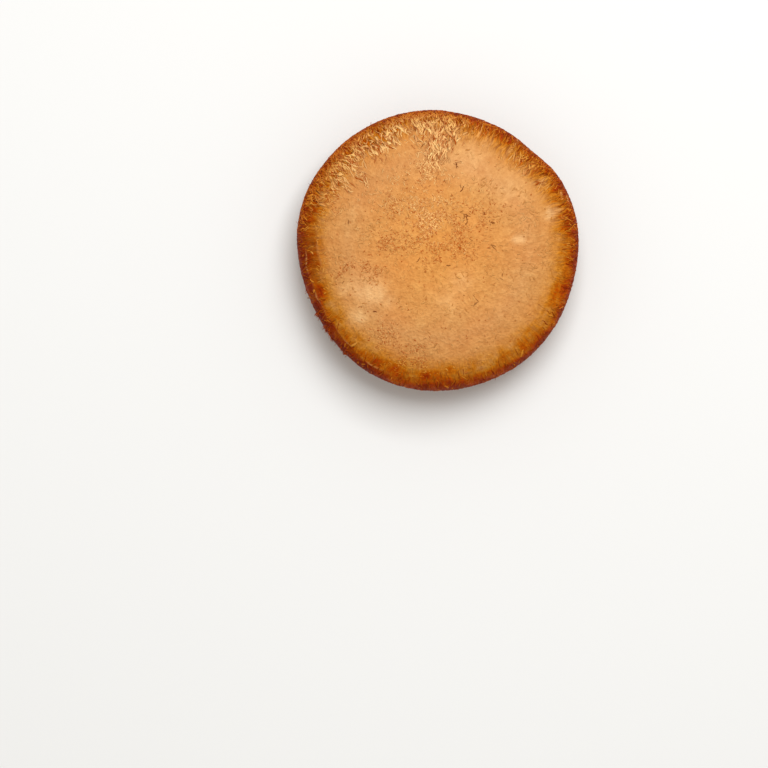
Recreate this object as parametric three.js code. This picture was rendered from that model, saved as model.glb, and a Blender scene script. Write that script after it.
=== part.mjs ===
// Portobello mushroom: the open brown cap of Agaricus bisporus, gills down, standing on the flat cut end of
// its stem. Millimetres, +Z up, origin at the middle of the cut end. Seen from above, X runs to the right.
// Three organs that differ in colour, each one solid: the cap, the gills that line it, and the stem.
import * as THREE from "three";

// Driving dimensions
const cap = {
  radius: 46.2, // mean radius at the girth, seen from above
  crownZ: 34, // top of the cap
  girthZ: 13.5, // height of the widest level
  rimZ: 5, // lowest level of the rolled-in margin
  squareness: 2.7, // exponent of the dome's section: 2 is an ellipse, more is flatter on top
  domeSteps: [0.988, 0.96, 0.915, 0.85, 0.76, 0.63, 0.48, 0.32, 0.16], // rings, as shares of the radius
  rollIn: 4.8, // how far in from the girth the margin's lowest line lies
  rollSteps: [0, 20, 40, 60, 78], // rings from the lowest line out to the girth, degrees
  wall: 3.2, // thickness of the flesh at the margin
  lip: 2.2, // thickness of the margin's lip
  columns: 96,
};
const lipSteps = [
  // the lip's inner side, going down: how far in from the lowest line and up from it, in lips
  { inward: 0.1, up: 1.7 },
  { inward: 0.5, up: 0.6 },
  { inward: 0.35, up: 0.15 },
];
const outline = {
  lobes: [
    { order: 2, size: 0.009, peak: -41 },
    { order: 3, size: 0.0124, peak: 21 },
    { order: 5, size: 0.0063, peak: 25 },
  ],
  flat: { size: 0.02, at: 46, width: 9 }, // a side that grew against something, degrees
  roundWithin: 0.25, // share of the radius inside which a ring stays round
  fullFrom: 0.7, // share of the radius from which a ring has the whole outline
};
const dents = [
  { x: -20, y: -16, depth: 0.8, spread: 11 },
  { x: 15, y: 27, depth: 0.6, spread: 9 },
  { x: 22, y: -12, depth: 0.5, spread: 10 },
  { x: -6, y: 6, depth: 0.5, spread: 9 },
  { x: 29, y: 23, depth: 0.6, spread: 7 }, // the hollow above the flat side
  { x: -12, y: 30, depth: -0.5, spread: 8 }, // a low swelling
];
const dentLevels = { none: 11.5, full: 4 }; // depths below the crown: no dents lower, whole dents higher
const marginWave = { size: 0.7, order: 4, peak: 60 }; // the lip's rise and fall round the cap
const flesh = {
  ringZ: 17.6, // underside of the bare ring between the gills and the stem
  ringRadius: 12.6, // where the gills stop short of the stem
  marginZ: 13.2, // underside at the margin
  arch: 7.4, // rise of the gilled underside above the margin
  archReach: 3.2, // exponent that keeps the arch high until near the margin
  archRound: 0.6, // exponent that rounds the arch's fall to the margin
  ringReach: 3, // exponent of the fall back down to the bare ring
};
const gill = {
  count: 120,
  sheet: 1.2, // tissue that the gills share, above their roots
  gap: 0.3, // clearance to the flesh
  edgeHalf: 0.32, // half the thickness of a gill's edge
  edgeMost: 0.42, // most that half an edge takes of the spacing, where the gills crowd at the stem
  rootHalf: 0.12, // the same share where a gill has not begun yet
  edgeZ: 10.4, // level of the gills' edges
  edgeBelly: 0.9, // how far the edges swell down half-way out
  tierStart: [0, 0.42, 0.2, 0.42], // share of the way out where each gill of a group of four begins
  roundIn: 0.12, // share of the way out over which a gill comes to its full depth
  fadeFrom: 0.9, // share of the way out from which it runs out to nothing at the margin
  steps: [0, 0.06, 0.14, 0.24, 0.36, 0.46, 0.56, 0.76, 0.9, 1],
  sheetSteps: [0, 0.2, 0.45, 0.7, 0.88, 1],
};
const stem = {
  footRadius: 9.9, // at the cut end
  footEdge: 0.7, // worn corner of the cut end
  waistRadius: 9.5,
  waistZ: 7.5,
  ringRadius: 11.6, // the torn veil's ring
  ringZ: 12.4,
  ringThick: 1,
  neckRadius: 10.9, // where the stem enters the cap
  socket: 3, // depth of the neck's seat in the flesh
  lobes: [
    { order: 2, size: 0.035, peak: -17 },
    { order: 3, size: 0.02, peak: 21 },
  ],
  columns: 48,
};

const degrees = Math.PI / 180;
const smooth = (low, high, x) => THREE.MathUtils.smoothstep(x, low, high);

// A round outline's swelling in the direction of an angle, as a share of its mean radius.
const lobed = (lobes, angle) =>
  lobes.reduce((sum, { order, size, peak }) => sum + size * Math.cos(order * (angle - peak * degrees)), 0);

// The cap's radius in the direction of an angle, as a share of its mean radius.
function outlineShare(angle) {
  const { size, at, width } = outline.flat;
  const off = Math.atan2(Math.sin(angle - at * degrees), Math.cos(angle - at * degrees));
  return 1 + lobed(outline.lobes, angle) - size * Math.exp(-((off / (width * degrees)) ** 2));
}

// A point of the round section, moved out to the real outline, and up or down with the wave of the margin.
function placed(radius, angle, z) {
  const { roundWithin, fullFrom } = outline;
  const out = radius / cap.radius;
  const share = 1 + (outlineShare(angle) - 1) * smooth(roundWithin, fullFrom, out);
  const low = 1 - smooth(cap.rimZ, cap.crownZ, z);
  const wave = marginWave.size * Math.cos(marginWave.order * (angle - marginWave.peak * degrees));
  const lift = wave * low * smooth(fullFrom, 1, out);
  return new THREE.Vector3(radius * share * Math.cos(angle), radius * share * Math.sin(angle), z + lift);
}

// The dents and swellings of the skin, at full size on top and none on the shoulder or the underside.
function dentAt(x, y, z) {
  const top = smooth(cap.crownZ - dentLevels.none, cap.crownZ - dentLevels.full, z);
  return dents.reduce((sum, dent) => {
    const distance = Math.hypot(x - dent.x, y - dent.y);
    return sum - dent.depth * Math.exp(-((distance / dent.spread) ** 2));
  }, 0) * top;
}

// The radius of the gilled underside and the height of its roots, at a share of the way out.
const gillRadius = (share) => THREE.MathUtils.lerp(flesh.ringRadius, cap.radius - cap.wall - gill.gap, share);
function rootZ(share) {
  const { ringZ, marginZ, arch, archReach, archRound, ringReach } = flesh;
  const rise = arch * (1 - share ** archReach) ** archRound;
  return marginZ + rise - (marginZ + arch - ringZ) * (1 - share) ** ringReach;
}

// The cap's section, from the roof of the stem's socket under and round to the crown.
function capSection() {
  const { radius, crownZ, girthZ, rimZ, squareness, domeSteps, rollIn, rollSteps, lip } = cap;
  const points = [];
  const add = (r, z) => points.push(new THREE.Vector2(r, z));
  const socketRadius = stem.neckRadius + gill.gap;
  const seat = gill.sheet + gill.gap;
  add(0, flesh.ringZ + stem.socket);
  add(socketRadius, flesh.ringZ + stem.socket);
  add(socketRadius, flesh.ringZ);
  add(flesh.ringRadius - gill.gap, flesh.ringZ);
  add(flesh.ringRadius - gill.gap, rootZ(0) + seat);
  for (const share of gill.sheetSteps.slice(1)) {
    add(gillRadius(share) + gill.gap * share, rootZ(share) + seat);
  }
  add(gillRadius(1) + gill.gap, rootZ(1) - gill.gap);
  const lowRadius = radius - rollIn;
  for (const { inward, up } of lipSteps) {
    add(lowRadius - lip * inward, rimZ + lip * up);
  }
  for (const turn of rollSteps) {
    add(lowRadius + rollIn * Math.sin(turn * degrees), girthZ - (girthZ - rimZ) * Math.cos(turn * degrees));
  }
  add(radius, girthZ);
  for (const out of domeSteps) {
    add(radius * out, girthZ + (crownZ - girthZ) * (1 - out ** squareness) ** (1 / squareness));
  }
  add(0, crownZ);
  return points;
}

// Turns a section round Z, then moves each of its points as a function says.
function turned(section, columns, move) {
  const geometry = new THREE.LatheGeometry(section, columns).rotateX(Math.PI / 2);
  const position = geometry.attributes.position;
  for (let i = 0; i < position.count; i++) {
    const point = new THREE.Vector3().fromBufferAttribute(position, i);
    const to = move(Math.hypot(point.x, point.y), Math.atan2(point.y, point.x), point.z);
    position.setXYZ(i, to.x, to.y, to.z);
  }
  geometry.computeVertexNormals();
  return geometry;
}

function capGeometry() {
  return turned(capSection(), cap.columns, (radius, angle, z) => {
    const point = placed(radius, angle, z);
    point.z += dentAt(point.x, point.y, point.z);
    return point;
  });
}

// The gills' depth below their roots at a share of the way out, for a gill that begins at a share.
function gillDepth(share, start) {
  const level = gill.edgeZ - gill.edgeBelly * Math.sin(Math.PI * share);
  const inner = smooth(start, start + gill.roundIn, share);
  const margin = 1 - smooth(gill.fadeFrom, 1, share);
  return (rootZ(share) - level) * Math.sqrt(inner) * margin;
}

// One ring of the gilled face at a share of the way out: each gill gives its edge's two sides and a valley.
function gillRing(share) {
  const { count, edgeHalf, edgeMost, rootHalf, tierStart } = gill;
  const radius = gillRadius(share);
  const pitch = (2 * Math.PI) / count;
  const ring = [];
  for (let i = 0; i < count; i++) {
    const depth = gillDepth(share, tierStart[i % tierStart.length]);
    const half = Math.min(edgeHalf / radius, pitch * (depth > 0 ? edgeMost : rootHalf));
    const z = rootZ(share) - depth;
    ring.push(placed(radius, i * pitch - half, z));
    ring.push(placed(radius, i * pitch + half, z));
    ring.push(placed(radius, (i + 0.5) * pitch, rootZ(share)));
  }
  return ring;
}

// One ring of the sheet's upper face, which lies against the flesh: a point above each valley.
function sheetRing(share) {
  const pitch = (2 * Math.PI) / gill.count;
  const z = rootZ(share) + gill.sheet;
  return Array.from({ length: gill.count }, (_, i) => placed(gillRadius(share), (i + 0.5) * pitch, z));
}

// A closed solid from rings of points, each joined to the next and the last to the first. A ring may have a
// whole number of times as many points as its neighbour.
function ringedGeometry(rings) {
  const starts = [];
  const points = [];
  for (const ring of rings) {
    starts.push(points.length);
    points.push(...ring);
  }
  const index = [];
  const at = (ring, i) => starts[ring] + (i % rings[ring].length);
  rings.forEach((ring, k) => {
    const next = (k + 1) % rings.length;
    const few = Math.min(ring.length, rings[next].length);
    const here = ring.length / few;
    const there = rings[next].length / few;
    for (let j = 1; j <= few; j++) {
      const last = (j - 1) * here + here - 1;
      for (let i = 0; i < there; i++) {
        index.push(at(k, last), at(next, j * there + i), at(next, j * there - 1 + i));
      }
      for (let i = 0; i < here; i++) {
        index.push(at(k, last + i), at(k, last + i + 1), at(next, (j + 1) * there - 1));
      }
    }
  });
  const geometry = new THREE.BufferGeometry().setFromPoints(points).setIndex(index);
  geometry.computeVertexNormals();
  return geometry;
}

function gillGeometry() {
  const { steps, sheetSteps } = gill;
  return ringedGeometry([...steps.map(gillRing), ...sheetSteps.toReversed().map(sheetRing)]);
}

// The stem, from the middle of its cut end up to the top of its neck. Below the veil's ring it is not quite
// round; its neck is, to fit the round socket.
function stemGeometry() {
  const { footRadius, footEdge, waistRadius, waistZ, ringRadius, ringZ, ringThick } = stem;
  const { neckRadius, socket, lobes, columns } = stem;
  const neckZ = flesh.ringZ - gill.gap;
  const topZ = flesh.ringZ + socket - gill.gap;
  const underRing = (waistRadius + neckRadius) / 2;
  const section = [
    [0, 0],
    [footRadius - footEdge, 0],
    [footRadius, footEdge],
    [(footRadius + waistRadius) / 2, waistZ / 2],
    [waistRadius, waistZ],
    [underRing, ringZ - ringThick * 1.5],
    [ringRadius, ringZ - ringThick],
    [ringRadius, ringZ],
    [underRing, ringZ + ringThick],
    [neckRadius, neckZ],
    [neckRadius, topZ],
    [0, topZ],
  ].map(([r, z]) => new THREE.Vector2(r, z));
  return turned(section, columns, (radius, angle, z) => {
    const share = 1 + lobed(lobes, angle) * (1 - smooth(ringZ + ringThick, neckZ, z));
    return new THREE.Vector3(radius * share * Math.cos(angle), radius * share * Math.sin(angle), z);
  });
}

function node(name, geometry, color, roughness) {
  const mesh = new THREE.Mesh(geometry, new THREE.MeshStandardMaterial({ color, roughness, metalness: 0 }));
  mesh.name = name;
  return mesh;
}

const mushroom = new THREE.Group();
mushroom.add(
  node("cap", capGeometry(), 0xd89a55, 0.7),
  node("gills", gillGeometry(), 0x5a3524, 0.8),
  node("stem", stemGeometry(), 0xe6d6b8, 0.75),
);

export default mushroom;
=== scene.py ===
import math

import bpy
import numpy as np
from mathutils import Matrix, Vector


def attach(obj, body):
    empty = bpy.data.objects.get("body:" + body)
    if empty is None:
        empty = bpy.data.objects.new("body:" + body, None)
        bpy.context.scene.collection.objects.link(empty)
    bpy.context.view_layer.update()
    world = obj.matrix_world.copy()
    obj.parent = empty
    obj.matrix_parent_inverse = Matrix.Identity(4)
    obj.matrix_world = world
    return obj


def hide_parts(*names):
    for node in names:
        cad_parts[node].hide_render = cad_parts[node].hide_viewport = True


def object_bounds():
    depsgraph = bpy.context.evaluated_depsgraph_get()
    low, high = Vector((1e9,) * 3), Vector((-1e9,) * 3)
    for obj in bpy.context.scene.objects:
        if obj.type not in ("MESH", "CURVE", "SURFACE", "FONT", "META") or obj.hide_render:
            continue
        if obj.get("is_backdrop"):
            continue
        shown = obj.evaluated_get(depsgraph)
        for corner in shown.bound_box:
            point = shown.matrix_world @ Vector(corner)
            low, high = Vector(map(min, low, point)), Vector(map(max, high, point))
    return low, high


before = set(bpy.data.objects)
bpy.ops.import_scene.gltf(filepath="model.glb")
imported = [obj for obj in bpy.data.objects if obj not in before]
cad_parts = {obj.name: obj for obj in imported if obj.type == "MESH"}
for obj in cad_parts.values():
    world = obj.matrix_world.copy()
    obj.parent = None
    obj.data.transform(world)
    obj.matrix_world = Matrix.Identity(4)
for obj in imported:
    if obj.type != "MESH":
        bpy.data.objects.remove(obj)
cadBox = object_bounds()

# Portobello mushroom: a fibrous brown cap, dark gills and a short trimmed stem. Metres, +Z up, origin at the
# middle of the stem's cut end. Seen from above, X runs to the right.
# Each piece starts as a plain turned mesh, and a Geometry Nodes tree gives it its grown form.


# Sums with node sockets: each one adds a Math node to the tree that the socket is in.
class Wire:
    def __init__(self, socket):
        self.socket = socket
        self.tree = socket.id_data

    __add__ = lambda a, b: calc("ADD", a, b)
    __radd__ = lambda a, b: calc("ADD", b, a)
    __sub__ = lambda a, b: calc("SUBTRACT", a, b)
    __rsub__ = lambda a, b: calc("SUBTRACT", b, a)
    __mul__ = lambda a, b: calc("MULTIPLY", a, b)
    __rmul__ = lambda a, b: calc("MULTIPLY", b, a)
    __truediv__ = lambda a, b: calc("DIVIDE", a, b)
    __rtruediv__ = lambda a, b: calc("DIVIDE", b, a)
    __pow__ = lambda a, b: calc("POWER", a, b)
    __neg__ = lambda a: calc("MULTIPLY", a, -1.0)


def fillSocket(socket, value):
    if isinstance(value, Wire):
        socket.id_data.links.new(value.socket, socket)
    elif value is not None:
        socket.default_value = value


def addNode(tree, kind, values=None, **settings):
    node = tree.nodes.new(kind)
    for name, value in settings.items():
        setattr(node, name, value)
    for name, value in (values or {}).items():
        fillSocket(node.inputs[name], value)
    return node


def made(tree, kind, values=None, output=0, **settings):
    return Wire(addNode(tree, kind, values, **settings).outputs[output])


def treeOf(values):
    return next(value.tree for value in values if isinstance(value, Wire))


def calc(operation, *values):
    return made(treeOf(values), "ShaderNodeMath", dict(enumerate(values)), operation=operation)


# These work on plain numbers and on wires alike, so that one formula serves the meshes and the trees.
def cosine(x):
    return calc("COSINE", x) if isinstance(x, Wire) else math.cos(x)


def sine(x):
    return calc("SINE", x) if isinstance(x, Wire) else math.sin(x)


def mix(a, b, share):
    return a + (b - a) * share


def bell(x, width):
    ratio = x / width
    return calc("EXPONENT", -(ratio * ratio))


def smooth(low, high, x):
    return made(x.tree, "ShaderNodeMapRange", {0: x, 1: low, 2: high}, interpolation_type="SMOOTHSTEP")


def clamped(x):
    return calc("MAXIMUM", calc("MINIMUM", x, 1.0), 0.0)


def vector(x, y, z):
    return made(treeOf((x, y, z)), "ShaderNodeCombineXYZ", {0: x, 1: y, 2: z})


def split(place):
    return [Wire(socket) for socket in addNode(place.tree, "ShaderNodeSeparateXYZ", {0: place}).outputs]


def vectorCalc(operation, a, b):
    return made(treeOf((a, b)), "ShaderNodeVectorMath", {0: a, 1: b}, operation=operation)


def scaled(arrow, share):
    return made(arrow.tree, "ShaderNodeVectorMath", {0: arrow, "Scale": share}, operation="SCALE")


def noise(place, scale, detail=2.0, roughness=0.5, output=0):
    values = {"Vector": place, "Scale": scale, "Detail": detail, "Roughness": roughness}
    return made(place.tree, "ShaderNodeTexNoise", values, output)


def polar(x, y):
    return calc("SQRT", x * x + y * y), calc("ARCTAN2", y, x)


# A place for noise that is drawn out from the axis: it changes fast round the axis and slowly along.
def streakPlace(turn, along, around, stretch):
    return vector(cosine(turn) * around, sine(turn) * around, along * stretch)


# Trees, pieces and meshes
socketKinds = {float: "NodeSocketFloat", int: "NodeSocketInt", str: "NodeSocketString"}


def newTree(name, kind, inputs, outputs):
    tree = bpy.data.node_groups.new(name, kind)
    for label, value in inputs.items():
        bare = isinstance(value, str) and value.startswith("NodeSocket")
        kindOfSocket = value if bare else socketKinds[type(value)]
        socket = tree.interface.new_socket(name=label, in_out="INPUT", socket_type=kindOfSocket)
        if not bare:
            socket.default_value = value
    for label, socketType in outputs.items():
        tree.interface.new_socket(name=label, in_out="OUTPUT", socket_type=socketType)
    start = tree.nodes.new("NodeGroupInput")
    end = tree.nodes.new("NodeGroupOutput")
    return tree, {socket.name: Wire(socket) for socket in start.outputs if socket.name}, end


def growTree(name, inputs):
    inputs = {"Geometry": "NodeSocketGeometry", **inputs}
    return newTree(name, "GeometryNodeTree", inputs, {"Geometry": "NodeSocketGeometry"})


def position(tree):
    return made(tree, "GeometryNodeInputPosition")


def named(tree, name):
    return made(tree, "GeometryNodeInputNamedAttribute", {"Name": name})


def store(geometry, name, value, domain="POINT"):
    values = {"Geometry": geometry, "Name": name, "Value": value}
    return made(geometry.tree, "GeometryNodeStoreNamedAttribute", values, domain=domain)


def moved(geometry, place=None, offset=None):
    values = {"Geometry": geometry, "Position": place, "Offset": offset}
    return made(geometry.tree, "GeometryNodeSetPosition", values)


def randomValue(tree, low, high, seed, which=None):
    return made(tree, "FunctionNodeRandomValue", {2: low, 3: high, "ID": which, "Seed": seed}, 1)


# The tree's end: all instances made real, and the piece's material on them.
def finishTree(end, geometry, material):
    real = made(geometry.tree, "GeometryNodeRealizeInstances", {0: geometry})
    values = {"Geometry": real, "Material": material}
    fillSocket(end.inputs[0], made(geometry.tree, "GeometryNodeSetMaterial", values))


# Runs a tree on a piece with the values given, and keeps the result as a plain mesh.
def grow(piece, tree, values, material):
    modifier = piece.modifiers.new(tree.name, "NODES")
    modifier.node_group = tree
    values = {**values, "Material": material}
    for item in tree.interface.items_tree:
        if item.in_out == "INPUT" and item.name in values:
            modifier[item.identifier] = values[item.name]
    depsgraph = bpy.context.evaluated_depsgraph_get()
    mesh = bpy.data.meshes.new_from_object(piece.evaluated_get(depsgraph), depsgraph=depsgraph)
    piece.modifiers.remove(modifier)
    piece.data = mesh
    mesh.name = piece.name
    mesh.materials.clear()
    mesh.materials.append(material)
    mesh.polygons.foreach_set("material_index", np.zeros(len(mesh.polygons), np.int32))
    mesh.shade_smooth()
    mesh.update()
    print(f"{piece.name}: {sum(len(p.vertices) - 2 for p in mesh.polygons)} triangles")
    return piece


def newPiece(name, mesh):
    piece = bpy.data.objects.new(name, mesh)
    bpy.context.scene.collection.objects.link(piece)
    return piece


def belong(piece, slot, *replaced):
    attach(piece, "root")
    if replaced:
        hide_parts(*replaced)


# The same line with its points evenly spaced. A row holds a radius, a height and what else goes with them.
def evenly(line, step):
    line = np.array(line, float)
    run = np.r_[0, np.cumsum(np.linalg.norm(np.diff(line[:, :2], axis=0), axis=1))]
    marks = np.linspace(0, run[-1], max(2, round(run[-1] / step) + 1))
    return np.column_stack([np.interp(marks, run, column) for column in line.T])


# A section turned round Z. It starts and ends on the axis, or else closes on itself. The third column, how
# far along it a row lies, becomes the attribute "reach".
def turnedMesh(name, section, columns):
    turn = np.arange(columns) * (2 * math.pi / columns)
    closed = section[0][0] > 1e-9
    places, reaches, rings = [], [], []
    for radius, height, reach in section:
        if radius <= 1e-9:
            rings.append([len(places)] * columns)
            places.append((0.0, 0.0, height))
            reaches.append(reach)
            continue
        rings.append(list(range(len(places), len(places) + columns)))
        places.extend(zip(radius * np.cos(turn), radius * np.sin(turn), [height] * columns))
        reaches.extend([reach] * columns)
    # A section that runs clockwise, out and down, needs its faces the other way round to look outwards.
    radii, heights = section[:, 0], section[:, 1]
    clockwise = np.sum(radii * np.roll(heights, -1) - np.roll(radii, -1) * heights) < 0
    faces = []
    for low, high in zip(rings, rings[1:] + rings[:1] if closed else rings[1:]):
        for i in range(columns):
            j = (i + 1) % columns
            corners = tuple(dict.fromkeys((low[i], low[j], high[j], high[i])))
            faces.append(corners[::-1] if clockwise else corners)
    mesh = bpy.data.meshes.new(name)
    mesh.from_pydata(places, [], faces)
    mesh.attributes.new("reach", "FLOAT", "POINT").data.foreach_set("value", np.array(reaches, np.float32))
    mesh.validate()
    return mesh


# Cap
capForm = {
    "girthRadius": 0.0462,  # mean radius at the girth, seen from above
    "crownHeight": 0.034,
    "girthHeight": 0.0135,
    "rimHeight": 0.005,  # lowest line of the rolled-in margin
    "squareness": 2.7,  # 2 is an ellipse, more is flatter on top
    "rollIn": 0.0048,
    "wall": 0.0032,
    "lip": 0.0022,
    "lobes": [(2, 0.009, -41), (3, 0.0124, 21), (5, 0.0063, 25)],  # order, size, peak in degrees
    "flatSide": (0.02, 46, 9),  # size, direction and width in degrees
    "marginWave": (0.0007, 4, 60),
    "dents": [  # x, y, depth, spread
        (-0.020, -0.016, 0.0008, 0.011),
        (0.015, 0.027, 0.0006, 0.009),
        (0.022, -0.012, 0.0005, 0.010),
        (-0.006, 0.006, 0.0005, 0.009),
        (0.029, 0.023, 0.0006, 0.007),
        (-0.012, 0.030, -0.0005, 0.008),
    ],
    "columns": 540,
    "step": 0.00052,  # between the rings
}
underside = {
    "bareRingHeight": 0.0176,
    "bareRingRadius": 0.0126,
    "marginHeight": 0.0132,
    "arch": 0.0074,
    "archReach": 3.2,
    "archRound": 0.6,
    "ringReach": 3.0,
    "sheet": 0.0012,  # tissue that the gills hang from
    "gap": 0.0003,
    "socketDepth": 0.003,
}


def outlineShare(angle):
    share = 1.0
    for order, size, peak in capForm["lobes"]:
        share = share + cosine((angle - math.radians(peak)) * order) * size
    size, direction, width = capForm["flatSide"]
    off = angle - math.radians(direction)
    off = calc("ARCTAN2", sine(off), cosine(off))
    return share - bell(off, math.radians(width)) * size


# Moves the points of the round form out to the real outline, and up and down with the margin's wave.
def followOutline(geometry):
    x, y, z = split(position(geometry.tree))
    radius, angle = polar(x, y)
    out = radius / capForm["girthRadius"]
    share = (outlineShare(angle) - 1.0) * smooth(0.25, 0.7, out) + 1.0
    size, order, peak = capForm["marginWave"]
    low = 1.0 - smooth(capForm["rimHeight"], capForm["crownHeight"], z)
    lift = cosine((angle - math.radians(peak)) * order) * low * smooth(0.7, 1.0, out) * size
    return moved(geometry, vector(x * share, y * share, z + lift))


def gillRadius(share):
    inner = underside["bareRingRadius"]
    outer = capForm["girthRadius"] - capForm["wall"] - underside["gap"]
    return mix(inner, outer, share)


def rootHeight(share):
    rise = underside["arch"] * (1 - share ** underside["archReach"]) ** underside["archRound"]
    fall = underside["marginHeight"] + underside["arch"] - underside["bareRingHeight"]
    return underside["marginHeight"] + rise - fall * (1 - share) ** underside["ringReach"]


# From the crown out and down. Reach is 0 at the crown, 1 at the girth, 2 at the margin's lowest line, 3 at
# the top of its inner side, 4 at the bare ring round the stem and 5 in the stem's socket.
def capSection():
    form, step = capForm, capForm["step"]
    lowRadius = form["girthRadius"] - form["rollIn"]
    height = form["crownHeight"] - form["girthHeight"]
    dome, roll, seat = [], [], []
    for turn in np.linspace(0, math.pi / 2, 400):
        out = math.sin(turn) ** (2 / form["squareness"])
        up = max(math.cos(turn), 0.0) ** (2 / form["squareness"])
        dome.append((form["girthRadius"] * out, form["girthHeight"] + height * up, out))
    for turn in np.linspace(math.pi / 2, 0, 60):
        drop = (form["girthHeight"] - form["rimHeight"]) * math.cos(turn)
        reach = 2 - turn / (math.pi / 2)
        roll.append((lowRadius + form["rollIn"] * math.sin(turn), form["girthHeight"] - drop, reach))
    sheetTop = underside["sheet"] + underside["gap"]
    for share in np.linspace(1, 0, 40):
        radius = gillRadius(share) + underside["gap"] * share
        seat.append((radius, rootHeight(share) + sheetTop, 4 - share))
    ringInner = underside["bareRingRadius"] - underside["gap"]
    roof = underside["bareRingHeight"] + underside["socketDepth"]
    inside = [
        (ringInner, underside["bareRingHeight"], 4.0),
        (stemForm["neckRadius"], underside["bareRingHeight"] - 0.0004, 4.6),
        (stemForm["neckRadius"], roof, 5.0),
        (0.0, roof, 5.0),
    ]
    lip = form["lip"]
    lipLine = [
        (lowRadius, form["rimHeight"], 2.0),
        (lowRadius - lip * 0.35, form["rimHeight"] + lip * 0.15, 2.2),
        (lowRadius - lip * 0.5, form["rimHeight"] + lip * 0.6, 2.4),
        (lowRadius - lip * 0.1, form["rimHeight"] + lip * 1.7, 2.7),
        (gillRadius(1) + underside["gap"], rootHeight(1) - underside["gap"], 3.0),
    ]
    parts = [evenly(dome, step), evenly(roll, step)[1:], evenly(lipLine, step)[1:]]
    parts += [evenly(seat, step * 4), evenly(inside, step * 2)]
    section = np.vstack(parts)
    section[0][0] = 0.0
    return section


capTexture = {
    "Unevenness": 0.00025,
    "Pit Depth": 0.00007,
    "Fur Relief": 0.00016,
    "Fold Height": 0.0002,
    "Rim Tatter": 0.00035,
}
capGrains = {  # sizes of what varies at random over the cap
    "swell": 0.013,
    "pit": 0.0021,
    "rag": 0.006,
    "fleck": 0.0032,
    "patch": 0.008,
    "clump": 0.0042,
    "creaseWander": 0.010,
}
palePatches = [  # x, y, spread, strength: where the skin is smooth and pale, and on the lower half partly a painted sheen
    (-0.0196, -0.0150, 0.0026, 1.1),
    (-0.0225, -0.0125, 0.0050, 0.6),
    (-0.0155, -0.0172, 0.0022, 0.5),
    (0.0078, -0.0105, 0.0034, 0.5),
    (0.0030, -0.0180, 0.0050, 0.4),
    (0.0365, 0.0115, 0.0020, 1.4),
    (0.0265, 0.0030, 0.0015, 1.2),
    (0.0110, 0.0290, 0.0070, 0.5),
    (0.0240, 0.0200, 0.0060, 0.4),
    (-0.0262, -0.0225, 0.0028, 1.0),
    (-0.0300, -0.0130, 0.0026, 0.5),
    (-0.0240, -0.0150, 0.0026, 0.5),
    (0.0021, 0.0450, 0.0009, 2.2),
]
fleckSpots = [  # x, y, spread, strength: clusters of fine dark flecks
    (-0.0010, 0.0055, 0.0075, 1.0),
    (0.0055, 0.0010, 0.0050, 0.7),
    (-0.0160, 0.0015, 0.0030, 1.0),
    (-0.0040, 0.0255, 0.0038, 1.0),
    (-0.0220, -0.0070, 0.0028, 0.8),
    (-0.0300, -0.0080, 0.0030, 0.7),
    (-0.0180, -0.0280, 0.0040, 0.5),
    (-0.0080, -0.0360, 0.0050, 0.5),
    (-0.0350, 0.0160, 0.0028, 0.8),
    (0.0150, 0.0120, 0.0045, 0.5),
    (-0.0120, 0.0130, 0.0050, 0.4),
]
looseSpots = [  # x, y: where longer dark fibres lie
    (0.0069, 0.0198),
    (0.0150, 0.0110),
    (0.0170, 0.0086),
    (0.0087, 0.0096),
    (0.0172, -0.0003),
    (0.0101, 0.0020),
    (0.0015, 0.0218),
    (0.0062, 0.0277),
    (-0.0051, 0.0347),
    (-0.0019, 0.0315),
    (-0.0297, -0.0111),
    (-0.0307, -0.0057),
    (-0.0190, -0.0205),
    (0.0122, -0.0177),
]
scars = [  # x and y of both ends, width: pale raised lines in the skin
    (0.0159, 0.0450, 0.0148, 0.0403, 0.0004),
    (0.0148, 0.0403, 0.0130, 0.0368, 0.0004),
    (0.0249, 0.0396, 0.0264, 0.0374, 0.0004),
    (0.0264, 0.0374, 0.0258, 0.0350, 0.0004),
    (0.0258, 0.0350, 0.0243, 0.0330, 0.0003),
    (0.0403, 0.0188, 0.0407, 0.0166, 0.0004),
    (0.0424, 0.0176, 0.0430, 0.0150, 0.0003),
]
folds = [  # how far inside the outline, width, from and to in degrees, strength: creases along the margin
    (0.0028, 0.00024, 172, 252, 1.0),
    (0.0071, 0.0006, 158, 206, 0.5),
    (0.0098, 0.0005, 166, 196, 0.35),
]


def around(angle, direction, width):
    off = angle - math.radians(direction)
    return bell(calc("ARCTAN2", sine(off), cosine(off)), math.radians(width))


# How much of the skin's outer layer has split into strands: most on the upper shoulders, least low down.
furPlaces = [  # direction and width in degrees, weight, and how far in the strands begin there
    (86, 10, 0.65, 0.3),
    (97, 10, 0.45, 0.16),
    (114, 15, 0.6, 0.1),
    (138, 14, 0.85, 0.2),
    (160, 10, 0.45, 0.06),
    (42, 12, 0.4, 0.1),
    (14, 14, 0.2, 0.04),
    (66, 9, 0.2, 0.02),
]


def furMask(angle, reach, place):
    weight, inward = 0.05, 0.0
    for direction, width, share, deep in furPlaces:
        near = around(angle, direction, width)
        weight = near * share + weight
        inward = near * deep + inward
    start = (noise(place, 1 / capGrains["patch"], 3.0) - 0.5) * 0.5 + 0.86 - inward
    clumps = smooth(0.42, 0.56, noise(place, 1 / capGrains["clump"], 2.0)) * 0.88 + 0.12
    return smooth(start, start + 0.24, reach) * clamped(weight) * clumps
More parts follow.
